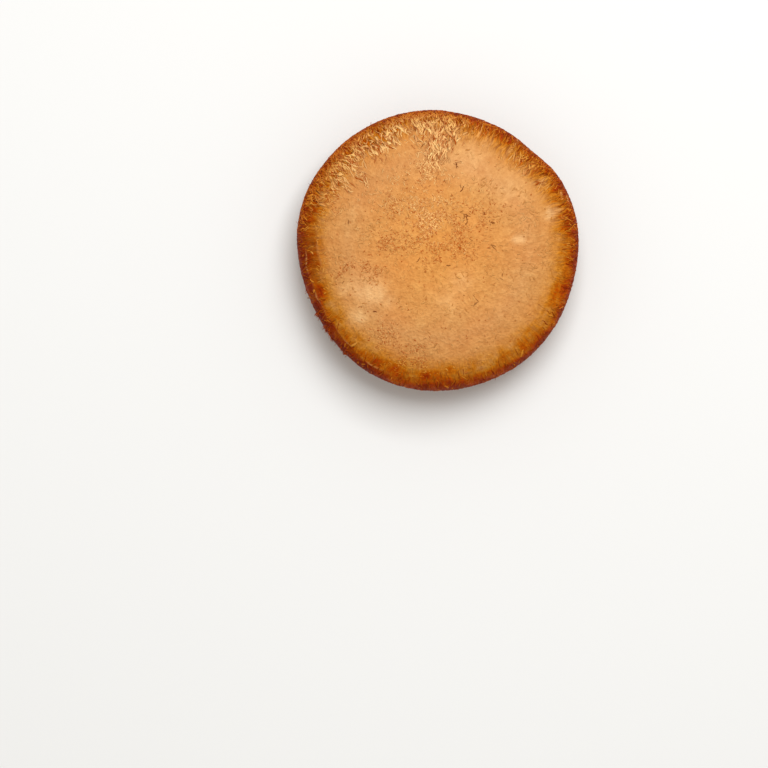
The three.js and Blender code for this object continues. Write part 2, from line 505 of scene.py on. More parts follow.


# The creases' ridges, which get a painted highlight, and the skin beyond: darker skin and painted shade.
def creaseMasks(angle, reach, place):
    wander = (noise(place, 1 / capGrains["creaseWander"], 3.0) - 0.5) * 0.0032
    inset = (1.0 - reach) * capForm["girthRadius"] + wander
    broken = smooth(0.38, 0.64, noise(place, 1 / capGrains["rag"], 3.0))
    turn = wrapped(angle)
    ridge, beyond = 0.0, 0.0
    for middle, width, low, high, strength in folds:
        start, end = math.radians(low), math.radians(high)
        window = smooth(start, start + 0.25, turn) * (1.0 - smooth(end - 0.25, end, turn)) * strength
        groove = bell(inset - middle + width * 3.6, width * 2.0) * 0.9
        ridge = (bell(inset - middle, width) - groove) * window + ridge
        beyond = smooth(-0.0005, 0.0003, middle - inset) * window + beyond
    onTop = 1.0 - smooth(1.0, 1.02, reach)
    return ridge * broken * onTop, clamped(beyond) * (1.0 - smooth(1.0, 1.2, reach))


def scarMask(x, y, reach):
    total = 0.0
    for line in scars:
        total = calc("MAXIMUM", bell(lineDistance(x, y, line), line[4]), total)
    return total * (1.0 - smooth(1.0, 1.02, reach))


def lineDistance(x, y, line):
    startX, startY, endX, endY, _ = line
    runX, runY = endX - startX, endY - startY
    offX, offY = x - startX, y - startY
    share = clamped((offX * runX + offY * runY) / (runX * runX + runY * runY))
    restX, restY = offX - share * runX, offY - share * runY
    return calc("SQRT", restX * restX + restY * restY)


def spots(x, y, places):
    total = 0.0
    for spotX, spotY, spread, strength in places:
        total = bell(x - spotX, spread) * bell(y - spotY, spread) * strength + total
    return total


def makeCapTree():
    tree, wires, end = growTree("capGrowth", {**capTexture, "Material": "NodeSocketMaterial"})
    reach = named(tree, "reach")
    grown = followOutline(wires["Geometry"])
    place = position(tree)
    x, y, z = split(place)
    radius, angle = polar(x, y)
    top = smooth(capForm["crownHeight"] - 0.0115, capForm["crownHeight"] - 0.004, z)
    sink = 0.0
    for dentX, dentY, depth, spread in capForm["dents"]:
        sink = bell(x - dentX, spread) * bell(y - dentY, spread) * -depth + sink
    grown = moved(grown, offset=vector(0.0, 0.0, sink * top))
    fur = furMask(angle, reach, place)
    skin = 1.0 - smooth(1.9, 2.0, reach)
    uneven = (noise(place, 1 / capGrains["swell"], 3.0) - 0.5) * 2.0 * wires["Unevenness"]
    pits = smooth(0.58, 0.72, noise(place, 1 / capGrains["pit"], 2.0)) * wires["Pit Depth"]
    strands = (noise(streakPlace(angle, radius, 26.0, 160.0), 1.0, 3.0) - 0.5) * 2.0
    strands = strands * wires["Fur Relief"] * fur
    crease, beyond = creaseMasks(angle, reach, place)
    scar = scarMask(x, y, reach)
    relief = (uneven - pits + strands + (crease + scar * 0.6) * wires["Fold Height"]) * skin
    normal = made(tree, "GeometryNodeInputNormal")
    grown = moved(grown, offset=scaled(normal, relief))
    rim = smooth(1.75, 2.0, reach) * (1.0 - smooth(2.3, 2.7, reach))
    tatter = (noise(streakPlace(angle, radius, 34.0, 300.0), 1.0, 4.0) - 0.45) * wires["Rim Tatter"] * rim
    grown = moved(grown, offset=vector(0.0, 0.0, tatter))
    ragged = x + (noise(place, 1 / capGrains["rag"], 3.0) - 0.5) * 0.006
    pale = spots(ragged, y, palePatches)
    fine = smooth(0.40, 0.56, noise(place, 1 / capGrains["fleck"], 3.0))
    flecks = clamped(spots(x, y, fleckSpots) * 1.3 + bell(radius, 0.032) * 0.035) * fine
    patches = smooth(0.48, 0.62, noise(place, 1 / capGrains["patch"], 3.0)) + 0.08
    crown = (1.0 - smooth(0.84, 0.95, reach)) * patches * (smooth(-0.02, 0.015, y) * 0.75 + 0.25)
    loose = spots(x, y, [(spotX, spotY, 0.0011, 1.0) for spotX, spotY in looseSpots])
    torn = smooth(0.48, 0.6, noise(streakPlace(angle, radius, 14.0, 0.0), 1.0, 3.0))
    shreds = (around(angle, 220, 17) * 2.2 + 0.02) * torn
    band = smooth(0.87, 0.96, reach) * (1.0 - smooth(1.7, 1.95, reach))
    band = band * clamped(smooth(-0.4, 0.4, sine(angle)) + smooth(0.98, 1.06, reach) + 0.45)
    lining = smooth(2.15, 2.5, reach) * (1.0 - smooth(2.9, 3.0, reach))
    masks = {
        "fur": fur,
        "pale": clamped(pale),
        "flecks": flecks * skin,
        "furDensity": fur * (1.0 - smooth(1.2, 1.8, reach)),
        "fleckDensity": flecks * skin,
        "crownDensity": crown * (1.0 - clamped(pale)),
        "looseDensity": (loose + bell(radius, 0.030) * 0.004) * (1.0 - smooth(0.8, 0.9, reach)),
        "shredDensity": shreds * smooth(0.96, 0.99, reach) * (1.0 - smooth(1.05, 1.5, reach)),
        "bandDensity": band,
        "liningDensity": lining,
    }
    for name, value in masks.items():
        grown = store(grown, name, value)
    finishTree(end, grown, wires["Material"])
    return tree


def wrapped(angle):
    turn = 2 * math.pi
    return calc("FRACT", angle / turn + 1.0) * turn


# Stem
stemForm = {
    "footRadius": 0.0099,
    "footEdge": 0.0007,
    "waistRadius": 0.0095,
    "waistHeight": 0.0075,
    "ringHeight": 0.0124,
    "ringThick": 0.001,
    "neckRadius": 0.0109,
    "lobes": [(2, 0.035, -17), (3, 0.02, 21)],
    "columns": 300,
    "step": 0.0003,
}
stemTexture = {"Groove Depth": 0.0003, "Unevenness": 0.0003, "Cut Roughness": 0.00007}


# From the middle of the cut end up: reach is 0 on the cut end, 1 at its edge, 2 at the neck.
def stemSection():
    form = stemForm
    top = underside["bareRingHeight"] + underside["socketDepth"] - underside["gap"]
    ringRoot = (form["waistRadius"] + form["neckRadius"]) / 2
    line = [
        (0.0, 0.0, 0.0),
        (form["footRadius"] - form["footEdge"], 0.0, 0.9),
        (form["footRadius"] - form["footEdge"] * 0.3, form["footEdge"] * 0.3, 1.0),
        (form["footRadius"], form["footEdge"], 1.05),
        ((form["footRadius"] + form["waistRadius"]) / 2, form["waistHeight"] / 2, 1.3),
        (form["waistRadius"], form["waistHeight"], 1.5),
        (ringRoot - 0.0003, form["ringHeight"] - form["ringThick"] * 1.5, 1.7),
        (ringRoot, form["ringHeight"], 1.8),
        (form["neckRadius"], underside["bareRingHeight"] - underside["gap"], 2.0),
        (form["neckRadius"], top, 2.0),
        (0.0, top, 2.0),
    ]
    section = evenly(line, form["step"])
    section[0][0] = 0.0
    section[-1][0] = 0.0
    return section


def stemShare(angle, z):
    share = 1.0
    for order, size, peak in stemForm["lobes"]:
        share = share + cosine((angle - math.radians(peak)) * order) * size
    free = 1.0 - smooth(stemForm["ringHeight"] + stemForm["ringThick"], underside["bareRingHeight"], z)
    return (share - 1.0) * free + 1.0


def makeStemTree():
    tree, wires, end = growTree("stemGrowth", {**stemTexture, "Material": "NodeSocketMaterial"})
    x, y, z = split(position(tree))
    angle = polar(x, y)[1]
    share = stemShare(angle, z)
    grown = moved(wires["Geometry"], vector(x * share, y * share, z))
    place = position(tree)
    x, y, z = split(place)
    angle = polar(x, y)[1]
    reach = named(tree, "reach")
    side = smooth(1.0, 1.06, reach) * (1.0 - smooth(1.93, 2.0, reach))
    grooves = (noise(streakPlace(angle, z, 9.0, 55.0), 1.0, 4.0, 0.6) - 0.55) * wires["Groove Depth"] * 2.0
    uneven = (noise(place, 1 / 0.006, 2.0) - 0.55) * wires["Unevenness"] * 2.0
    normal = made(tree, "GeometryNodeInputNormal")
    grown = moved(grown, offset=scaled(normal, (grooves + uneven) * side))
    cut = 1.0 - smooth(0.9, 1.0, reach)
    pits = calc("MAXIMUM", noise(place, 1 / 0.0011, 3.0, 0.6) - 0.5, 0.0) * smooth(0.0, 0.15, reach) * 3.0
    grown = moved(grown, offset=vector(0.0, 0.0, (pits + 0.5) * wires["Cut Roughness"] * cut))
    grown = store(grown, "stemFibreDensity", side)
    finishTree(end, grown, wires["Material"])
    return tree


veilRing = {"inner": 0.0098, "outer": 0.0117, "height": 0.0122, "thick": 0.0005, "columns": 360}
veilRingTexture = {"Tatter": 0.0013, "Ripple": 0.0005}


# The torn ring: a thin skirt, whose reach is 0 at the stem and 1 at its torn edge.
def veilRingMesh():
    inner, outer, height = veilRing["inner"], veilRing["outer"], veilRing["height"]
    above, below = [], []
    for share in np.linspace(0, 1, 9):
        droop = 0.0006 * share * share
        half = veilRing["thick"] * (1.15 - share) / 2
        radius = mix(inner, outer, share)
        above.append((radius, height - droop + half, share))
        below.append((radius, height - droop - half, share))
    return turnedMesh("veilRing", np.array(below + above[::-1]), veilRing["columns"])


def makeVeilRingTree():
    tree, wires, end = growTree("veilRingGrowth", {**veilRingTexture, "Material": "NodeSocketMaterial"})
    x, y, z = split(position(tree))
    radius, angle = polar(x, y)
    reach = named(tree, "reach")
    torn = noise(streakPlace(angle, z, 7.0, 0.0), 1.0, 6.0, 0.65)
    pull = reach * smooth(0.35, 0.75, torn) * wires["Tatter"]
    ripple = (noise(streakPlace(angle, z, 4.0, 0.0), 1.0, 2.0) - 0.5) * wires["Ripple"] * 2.0 * reach
    share = stemShare(angle, z) * (1.0 - pull / radius)
    grown = moved(wires["Geometry"], vector(x * share, y * share, z + ripple))
    finishTree(end, grown, wires["Material"])
    return tree


# Gills
gillForm = {
    "Count": 384,
    "Root Half": 0.00016,
    "Edge Half": 0.00007,
    "Sway": 0.00022,
    "Seed": 5,
}
gillLevels = {
    "edge": 0.0104,
    "belly": 0.0009,
    "roundIn": 0.12,
    "fadeFrom": 0.9,
    "starts": [0.0, 0.42, 0.2, 0.42],  # where each gill of a group of four begins, as a share of the way out
    "steps": 13,
}


def gillBedMesh():
    below, above = [], []
    for share in np.linspace(0, 1, 60):
        radius = gillRadius(share) + 0.0005 * share - 0.0004 * (1 - share)
        below.append((radius, rootHeight(share), 0.0))
        above.append((radius, rootHeight(share) + underside["sheet"], 0.0))
    return turnedMesh("gillBlades", np.array(below + above[::-1]), gillForm["Count"])


# One blade in the box from 0 to 1 along, -1 to 1 across and 0 to 1 down is copied round the axis. Each of
# its points then goes to its share of the way out and down.
def makeGillTree():
    tree, wires, end = growTree("gillGrowth", {**gillForm, "Material": "NodeSocketMaterial"})
    values = {"Vertices X": gillLevels["steps"], "Vertices Y": 2, "Vertices Z": 3, "Size": (1.0, 2.0, 1.0)}
    blade = made(tree, "GeometryNodeMeshCube", values)
    blade = moved(blade, offset=vectorConstant(tree, (0.5, 0.0, 0.5)))
    line = made(tree, "GeometryNodeMeshLine", {"Count": wires["Count"], "Offset": (0.0, 0.0, 0.0)})
    copies = made(tree, "GeometryNodeInstanceOnPoints", {"Points": line, "Instance": blade})
    copies = store(copies, "gill", made(tree, "GeometryNodeInputIndex"), domain="INSTANCE")
    blades = made(tree, "GeometryNodeRealizeInstances", {0: copies})
    gill = named(tree, "gill")
    u, side, v = split(position(tree))
    group = calc("MODULO", gill + 0.5, 4.0)
    starts = gillLevels["starts"]
    start = calc("LESS_THAN", group, 1.0) * starts[0]
    for number in (1, 2, 3):
        inGroup = calc("COMPARE", group, number + 0.5, 0.4)
        start = start + inGroup * starts[number]
    seed = wires["Seed"]
    start = clamped(start + randomValue(tree, -0.05, 0.06, seed, gill))
    share = mix(start, 0.998, u)
    level = gillLevels["edge"] - sine(share * math.pi) * gillLevels["belly"]
    inner = calc("SQRT", smooth(start, start + gillLevels["roundIn"], share))
    margin = 1.0 - smooth(gillLevels["fadeFrom"], 1.0, share)
    root = rootHeight(share)
    depth = (root - level) * inner * margin * randomValue(tree, 0.93, 1.0, seed + 1, gill)
    top = root + 0.0004
    ragged = (noise(vector(share * 60.0, gill * 7.3, 0.0), 1.0, 2.0) - 0.5) * 0.0006 * v * inner * margin
    height = mix(top, root - depth, v) + ragged
    radius = gillRadius(share)
    half = mix(wires["Root Half"], wires["Edge Half"], v)
    pitch = 2 * math.pi / wires["Count"]
    sway = (noise(vector(share * 7.0, gill * 5.7, v * 0.4), 1.0, 2.0) - 0.5) * 2.0
    sway = sway * wires["Sway"] * (v * 0.8 + 0.2)
    angle = (gill + randomValue(tree, -0.16, 0.16, seed + 2, gill)) * pitch + (side * half + sway) / radius
    blades = moved(blades, vector(cosine(angle) * radius, sine(angle) * radius, height))
    blades = made(tree, "GeometryNodeFlipFaces", {"Mesh": blades})
    blades = store(blades, "edge", v)
    blades = store(blades, "tone", randomValue(tree, 0.0, 1.0, seed + 3, gill))
    joined = tree.nodes.new("GeometryNodeJoinGeometry")
    for geometry in (wires["Geometry"], blades):
        fillSocket(joined.inputs[0], geometry)
    finishTree(end, followOutline(Wire(joined.outputs[0])), wires["Material"])
    return tree


def vectorConstant(tree, value):
    return made(tree, "FunctionNodeInputVector", vector=value)


# Fibres that lie on a skin: slim spindles along its grain, waved, and laid down on it point by point
fibreInputs = {
    "Skin": "NodeSocketObject",
    "Density Mask": "",
    "Per Area": 100000.0,
    "Shortest": 0.002,
    "Longest": 0.004,
    "Width": 0.0002,
    "Height": 0.0001,
    "Swing": 0.3,  # how far from the grain a fibre may turn, radians
    "Wave": 0.0002,
    "Palest": 1.0,
    "Darkest": 0.0,
    "Curl": 0.0,  # how far the outer end stands off the skin
    "Rings": 7,
    "Seed": 1,
    "Material": "NodeSocketMaterial",
}


def makeFibreTree():
    tree, wires, end = growTree("appressedFibres", fibreInputs)
    seed = wires["Seed"]
    skin = made(tree, "GeometryNodeObjectInfo", {"Object": wires["Skin"]}, "Geometry")
    density = named(tree, wires["Density Mask"]) * wires["Per Area"]
    values = {"Mesh": skin, "Density": density, "Seed": seed}
    scatter = addNode(tree, "GeometryNodeDistributePointsOnFaces", values)
    points = Wire(scatter.outputs["Points"])
    long = randomValue(tree, wires["Shortest"], wires["Longest"], seed + 1)
    slim = randomValue(tree, 0.6, 1.3, seed + 2)
    points = store(points, "shade", randomValue(tree, wires["Darkest"], wires["Palest"], seed + 3))
    points = store(points, "tall", wires["Height"] * slim * 0.5)
    points = store(points, "curl", wires["Curl"] * randomValue(tree, 0.0, 1.0, seed + 5))
    x, y, z = split(position(tree))
    # The grain runs down the skin's section: out from the crown, down the side and in again underneath.
    grain = vectorCalc("CROSS_PRODUCT", vector(-y, x, 0.0), Wire(scatter.outputs["Normal"]))
    values = {"Rotation": Wire(scatter.outputs["Rotation"]), "Vector": grain}
    aligned = made(tree, "FunctionNodeAlignRotationToVector", values, axis="X", pivot_axis="Z")
    swing = vector(0.0, 0.0, randomValue(tree, -1.0, 1.0, seed + 4) * wires["Swing"])
    values = {"Rotation": aligned, "Rotate By": made(tree, "FunctionNodeEulerToRotation", {0: swing})}
    turned = made(tree, "FunctionNodeRotateRotation", values, rotation_space="LOCAL")
    ball = made(tree, "GeometryNodeMeshUVSphere", {"Segments": 4, "Rings": wires["Rings"], "Radius": 1.0})
    spindle = made(tree, "GeometryNodeTransform", {"Geometry": ball, "Rotation": (0.0, math.pi / 2, 0.0)})
    spindle = store(spindle, "lift", split(position(tree))[2])
    spindle = store(spindle, "along", split(position(tree))[0])
    size = vector(long * 0.5, wires["Width"] * slim * 0.5, wires["Height"] * slim * 0.5)
    values = {"Points": points, "Instance": spindle, "Rotation": turned, "Scale": size}
    copies = made(tree, "GeometryNodeInstanceOnPoints", values)
    fibres = made(tree, "GeometryNodeRealizeInstances", {0: copies})
    wave = noise(position(tree), 1 / 0.0026, 2.0, output=1)
    wave = vectorCalc("SUBTRACT", wave, vectorConstant(tree, (0.5, 0.5, 0.5)))
    fibres = moved(fibres, offset=scaled(wave, wires["Wave"] * 2.0))
    nearest = made(tree, "GeometryNodeProximity", {0: skin}, "Position", target_element="FACES")
    normal = sampleSkin(skin, made(tree, "GeometryNodeInputNormal"), "FLOAT_VECTOR")
    reach = sampleSkin(skin, named(tree, "reach"), "FLOAT")
    fibres = store(fibres, "reach", reach)
    free = calc("MAXIMUM", named(tree, "along"), 0.0)
    rise = (named(tree, "lift") + 0.35) * named(tree, "tall") + free * named(tree, "curl")
    laid = vectorCalc("ADD", nearest, scaled(normal, rise))
    finishTree(end, moved(fibres, laid), wires["Material"])
    return tree


def sampleSkin(skin, value, kind):
    values = {"Mesh": skin, "Value": value}
    return made(skin.tree, "GeometryNodeSampleNearestSurface", values, data_type=kind)


# Colours as the eye reads them, from 0 to 255
def tint(colour):
    parts = [part / 255 for part in colour]
    return tuple(((p + 0.055) / 1.055) ** 2.4 if p > 0.04045 else p / 12.92 for p in parts) + (1.0,)


def newMaterial(name):
    material = bpy.data.materials.new(name)
    material.use_nodes = True
    tree = material.node_tree
    shader = next(node for node in tree.nodes if node.type == "BSDF_PRINCIPLED")
    return material, tree, shader


def objectPlace(tree):
    return made(tree, "ShaderNodeTexCoord", output="Object")


def attribute(tree, name):
    return made(tree, "ShaderNodeAttribute", output="Fac", attribute_name=name)


def mixColour(share, a, b, blend="MIX"):
    values = {0: share, 6: a, 7: b}
    return made(treeOf((share, a, b)), "ShaderNodeMix", values, 2, data_type="RGBA", blend_type=blend)


# The colour multiplied by another, as far as the share says
def shaded(colour, share, by):
    return mixColour(share, colour, mixColour(1.0, colour, tint(by), "MULTIPLY"))


def useGroup(tree, group, values):
    node = addNode(tree, "ShaderNodeGroup", node_tree=group)
    for name, value in values.items():
        fillSocket(node.inputs[name], value)
    return {socket.name: Wire(socket) for socket in node.outputs}


def ramp(share, stops):
    node = addNode(share.tree, "ShaderNodeValToRGB", {0: share})
    elements = node.color_ramp.elements
    while len(elements) < len(stops):
        elements.new(1.0)
    for element, (place, colour) in zip(elements, stops):
        element.position = place
        element.color = tint(colour)
    return Wire(node.outputs[0])


def bumpNormal(height, distance):
    return made(height.tree, "ShaderNodeBump", {"Height": height, "Distance": distance, "Strength": 1.0})


def dress(shader, colour, roughness, specular, normal=None):
    fillSocket(shader.inputs["Base Color"], colour)
    fillSocket(shader.inputs["Roughness"], roughness)
    fillSocket(shader.inputs["Normal"], normal)
    shader.inputs["Specular IOR Level"].default_value = specular


# Shared effects
def makeGrainGroup():
    inputs = {"Place": "NodeSocketVector", "Around": 30.0, "Stretch": 100.0, "Upright": 0.0, "Bend": 0.022}
    outputs = {"Fibre": "NodeSocketFloat", "Gap": "NodeSocketFloat", "Ridge": "NodeSocketFloat"}
    tree, wires, end = newTree("fibreGrain", "ShaderNodeTree", inputs, outputs)
    x, y, z = split(wires["Place"])
    radius, angle = polar(x, y)
    along = mix(radius, z, wires["Upright"])
    bent = angle + (noise(wires["Place"], 1 / 0.0045, 2.0) - 0.5) * wires["Bend"] * 2.0
    place = streakPlace(bent, along, wires["Around"], wires["Stretch"])
    fibre = noise(place, 1.0, 3.0, 0.55)
    values = {"Vector": place, "Scale": 1.0}
    walls = made(tree, "ShaderNodeTexVoronoi", values, "Distance", feature="DISTANCE_TO_EDGE")
    between = 1.0 - smooth(0.03, 0.16, walls)
    fillSocket(end.inputs["Fibre"], fibre)
    fillSocket(end.inputs["Gap"], clamped(between * 0.6 + 1.0 - smooth(0.32, 0.46, fibre)))
    fillSocket(end.inputs["Ridge"], smooth(0.54, 0.66, fibre) * (1.0 - between))
    return tree


def makeMottleGroup():
    inputs = {"Place": "NodeSocketVector", "Size": 0.01, "Contrast": 2.0}
    tree, wires, end = newTree("mottling", "ShaderNodeTree", inputs, {"Mask": "NodeSocketFloat"})
    cloud = noise(wires["Place"], 1.0 / wires["Size"], 3.0, 0.55)
    fillSocket(end.inputs["Mask"], clamped((cloud - 0.5) * wires["Contrast"] + 0.5))
    return tree


def makeSpeckGroup():
    inputs = {"Place": "NodeSocketVector", "Size": 0.001, "Amount": 0.3}
    tree, wires, end = newTree("specks", "ShaderNodeTree", inputs, {"Mask": "NodeSocketFloat"})
    scale = 1.0 / wires["Size"]
    warp = noise(wires["Place"], scale * 1.4, 2.0, 0.6)
    cell = addNode(tree, "ShaderNodeTexVoronoi", {"Vector": wires["Place"], "Scale": scale})
    distance = Wire(cell.outputs["Distance"]) + (warp - 0.5) * 0.5
    pick = Wire(cell.outputs["Color"])
    chosen = calc("LESS_THAN", split(pick)[0], wires["Amount"])
    fillSocket(end.inputs["Mask"], (1.0 - smooth(0.12, 0.3, distance)) * chosen)
    return tree


# The dark red-brown at the girth (0.236 to 0.25) is partly the margin's own skin, partly painted shade.
skinColours = [  # along the cap's section: the share of the reach up to 4, and the colour there
    (0.0, (228, 164, 87)),
    (0.11, (223, 163, 94)),
    (0.16, (219, 164, 103)),
    (0.192, (219, 160, 93)),
    (0.209, (216, 150, 66)),
    (0.219, (208, 136, 38)),
    (0.228, (202, 118, 16)),
    (0.236, (194, 100, 4)),
    (0.243, (188, 78, 2)),
    (0.25, (158, 56, 5)),
    (0.29, (150, 80, 28)),
    (0.40, (172, 112, 58)),
    (0.48, (192, 140, 80)),
    (0.55, (216, 178, 126)),
    (0.75, (205, 170, 126)),
    (1.0, (212, 188, 152)),
]


def makeToneGroup():
    tree, wires, end = newTree("skinTone", "ShaderNodeTree", {"Reach": 0.5}, {"Color": "NodeSocketColor"})
    fillSocket(end.inputs["Color"], ramp(wires["Reach"] / 4.0, skinColours))
    return tree


groups = {
    "grain": makeGrainGroup(),
    "mottle": makeMottleGroup(),
    "specks": makeSpeckGroup(),
    "tone": makeToneGroup(),
}


def grainOf(place, around, stretch, upright=0.0):
    values = {"Place": place, "Around": around, "Stretch": stretch, "Upright": upright}
    return useGroup(place.tree, groups["grain"], values)


def mottled(place, size, contrast):
    values = {"Place": place, "Size": size, "Contrast": contrast}
    return useGroup(place.tree, groups["mottle"], values)["Mask"]


def specked(place, size, amount):
    values = {"Place": place, "Size": size, "Amount": amount}
    return useGroup(place.tree, groups["specks"], values)["Mask"]


def toneAt(reach):
    return useGroup(reach.tree, groups["tone"], {"Reach": reach})["Color"]


skinLook = {
    "thinBand": [(90, 26, 0.08), (132, 20, 0.03), (318, 30, 0.045)],  # where the dark band is narrower
    "pale": (244, 200, 142),
    "speck": (164, 94, 36),
    "grainLight": (250, 200, 132),
    # The ground under the fur: partly a darker under-layer, partly painted shade under the strands.
    "furGroundAndShade": (138, 70, 16),
    # crease: a painted highlight on the creases' ridges, and the scars' own pale colour
    "crease": (232, 168, 96),
    "roughness": (0.6, 0.8),
    "bump": 0.00048,
    "shades": {  # what the skin's tone is multiplied by
        # blotch: partly the skin's own blotches, partly painted shade of its soft undulations
        "blotch": (255, 226, 206),
        "cloud": (206, 180, 150),
        "grain": (206, 176, 140),
        "coarseGap": (196, 156, 110),
        # gap: painted shade in the gaps between strands and grain
        "gap": (148, 92, 40),
        "ridge": (255, 250, 240),
        # beyondCrease: partly the margin's darker skin, partly painted shade on the steeper band
        "beyondCrease": (196, 148, 110),
    },
}
fibreLight = {"direction": 106, "width": 40, "fadeFrom": 0.88, "fadeTo": 0.99, "most": 0.56, "least": 0.03}
gillLook = {"side": (84, 50, 36), "edge": (150, 106, 82), "shade": (196, 168, 150), "cloud": (104, 68, 50)}
stemLook = {
    "flesh": (228, 208, 174),
    "blotch": (204, 170, 124),
    "gap": (168, 122, 76),
    "cutEdge": (150, 104, 62),
    "cutMiddle": (176, 132, 86),
    "cloud": (236, 220, 192),
}


def makeSkinMaterial():
    material, tree, shader = newMaterial("capSkin")
    place = objectPlace(tree)
    reach, fur = attribute(tree, "reach"), attribute(tree, "fur")
    flecks = attribute(tree, "flecks")
    x, y, z = split(place)
    radius, angle = polar(x, y)
    grain, coarse = grainOf(place, 48.0, 230.0), grainOf(place, 17.0, 110.0)
    blotch, cloudy = mottled(place, 0.012, 2.6), mottled(place, 0.0026, 2.4)
    fine = mottled(place, 0.0009, 2.6)
    specks, darkGrains = specked(place, 0.0014, 0.03), specked(place, 0.0013, 0.5)
    lightGrains = specked(vectorCalc("ADD", place, (0.02, 0.01, 0.0)), 0.0014, 0.6)
    north = sine(angle) * 0.5 + 0.5
    rough = smooth(0.3, 0.7, north)
    edge = smooth(0.75, 0.9, reach)
    fade = 1.0 - smooth(0.98, 1.12, reach) * 0.85
    strandShift = (coarse["Fibre"] - 0.5) * 0.4 + (grain["Fibre"] - 0.5) * 0.26
    # The north term also shifts the tone paler on the north side: painted light, as if lit more brightly
    # there.
    shift = strandShift * (rough * 0.7 + 0.3) + (blotch - 0.5) * 0.06 - north * 0.03 + 0.024
    tangent = noise(streakPlace(angle, radius, 8.0, 420.0), 1.0, 3.0)
    shift = shift + (tangent - 0.5) * (1.0 - rough) * 0.3
    inside = 1.0 - smooth(0.93, 0.99, reach)
    for direction, width, less in skinLook["thinBand"]:
        shift = shift - around(angle, direction, width) * inside * less
    tone = toneAt(reach + shift * edge * fade)
    shades = skinLook["shades"]
    # Large blotches: partly the skin's own blotches, partly painted shade of its soft undulations.
    colour = shaded(tone, blotch * 0.45, shades["blotch"])
    colour = shaded(colour, (1.0 - cloudy) * 0.4, shades["cloud"])
    colour = shaded(colour, (1.0 - fine) * 0.4, shades["grain"])
    colour = shaded(colour, coarse["Gap"] * smooth(0.25, 0.5, reach) * 0.1, shades["coarseGap"])
    # Pale patches: partly the skin's own paler skin, partly a painted sheen on the lower half.
    colour = mixColour(attribute(tree, "pale") * (cloudy * 0.5 + 0.5) * 0.6, colour, tint(skinLook["pale"]))
    # Under the fur: partly a darker under-layer, partly painted shade under the strands.
    colour = mixColour(fur * 0.3, colour, mixColour(0.6, tone, tint(skinLook["furGroundAndShade"])))
    # Darker gaps between strands and grain: painted shade.
    gaps = grain["Gap"] * clamped(fur * 0.9 + edge * (rough * 0.4 + 0.25) + 0.03)
    colour = shaded(colour, gaps, shades["gap"])
    ridges = grain["Ridge"] * clamped(fur * 0.8 + edge * 0.2) * 0.6
    colour = mixColour(ridges, colour, shaded(tone, 1.0, shades["ridge"]))
    crease, beyond = creaseMasks(angle, reach, place)
    # Beyond the creases: partly darker skin, partly painted shade on the steeper turned-over band.
    colour = shaded(colour, beyond * 0.7, shades["beyondCrease"])
    # The pale line on the creases' ridges is a painted highlight; on the scars it is their own pale colour.
    line = clamped(crease + scarMask(x, y, reach))
    colour = mixColour(line * 0.6, colour, tint(skinLook["crease"]))
    colour = mixColour(lightGrains * flecks * 0.7, colour, tint(skinLook["grainLight"]))
    colour = mixColour(darkGrains * flecks * 0.8, colour, tint(skinLook["speck"]))
    colour = mixColour(specks * (1.0 - edge) * 0.6, colour, tint(skinLook["speck"]))
    low, high = skinLook["roughness"]
    roughness = clamped(mix(low, high, cloudy * 0.5 + fur * 0.5))
    pitted = (lightGrains - darkGrains) * flecks
    height = coarse["Fibre"] * (edge * 0.3 + 0.1) + grain["Fibre"] * (fur * 1.2 + edge * rough * 0.6 + 0.05)
    height = height - grain["Gap"] * (fur + edge * 0.3) * 0.5
    height = height + fine * 0.4 + cloudy * 0.4 + pitted * 0.7 - specks * 0.3
    dress(shader, colour, roughness, 0.02, bumpNormal(height, skinLook["bump"]))
    return material


# Fibres take the skin's tone where they lie. The pale ones take it a little further in, and more of the
# light tint on the upper shoulders.
def makeFibreMaterial(name, dark, light, inward, further=0.0):
    material, tree, shader = newMaterial(name)
    place = objectPlace(tree)
    reach, shade = attribute(tree, "reach") + further, attribute(tree, "shade")
    cloudy = mottled(place, 0.0009, 1.6)
    darker = shaded(toneAt(reach), 1.0, dark)
    x, y, z = split(place)
    side = around(polar(x, y)[1], fibreLight["direction"], fibreLight["width"])
    sunny = side * (1.0 - smooth(fibreLight["fadeFrom"], fibreLight["fadeTo"], reach))
    amount = sunny * fibreLight["most"] + fibreLight["least"]
    lighter = mixColour(amount, toneAt(reach - inward), tint(light))
    share = clamped(shade + (cloudy - 0.5) * 0.3)
    dress(shader, mixColour(share, darker, lighter), mix(0.5, 0.7, cloudy), 0.01)
    return material


def makeGillMaterial():
    material, tree, shader = newMaterial("gillTissue")
    place = objectPlace(tree)
    edge, tone = attribute(tree, "edge"), attribute(tree, "tone")
    grain = grainOf(place, 60.0, 260.0)
    cloudy = mottled(place, 0.006, 2.0)
    colour = mixColour(edge, tint(gillLook["side"]), tint(gillLook["edge"]))
    colour = shaded(colour, tone * 0.4, gillLook["shade"])
    colour = mixColour(cloudy * 0.3, colour, tint(gillLook["cloud"]))
    dress(shader, colour, mix(0.6, 0.8, grain["Fibre"]), 0.3, bumpNormal(grain["Fibre"], 0.0001))
    return material


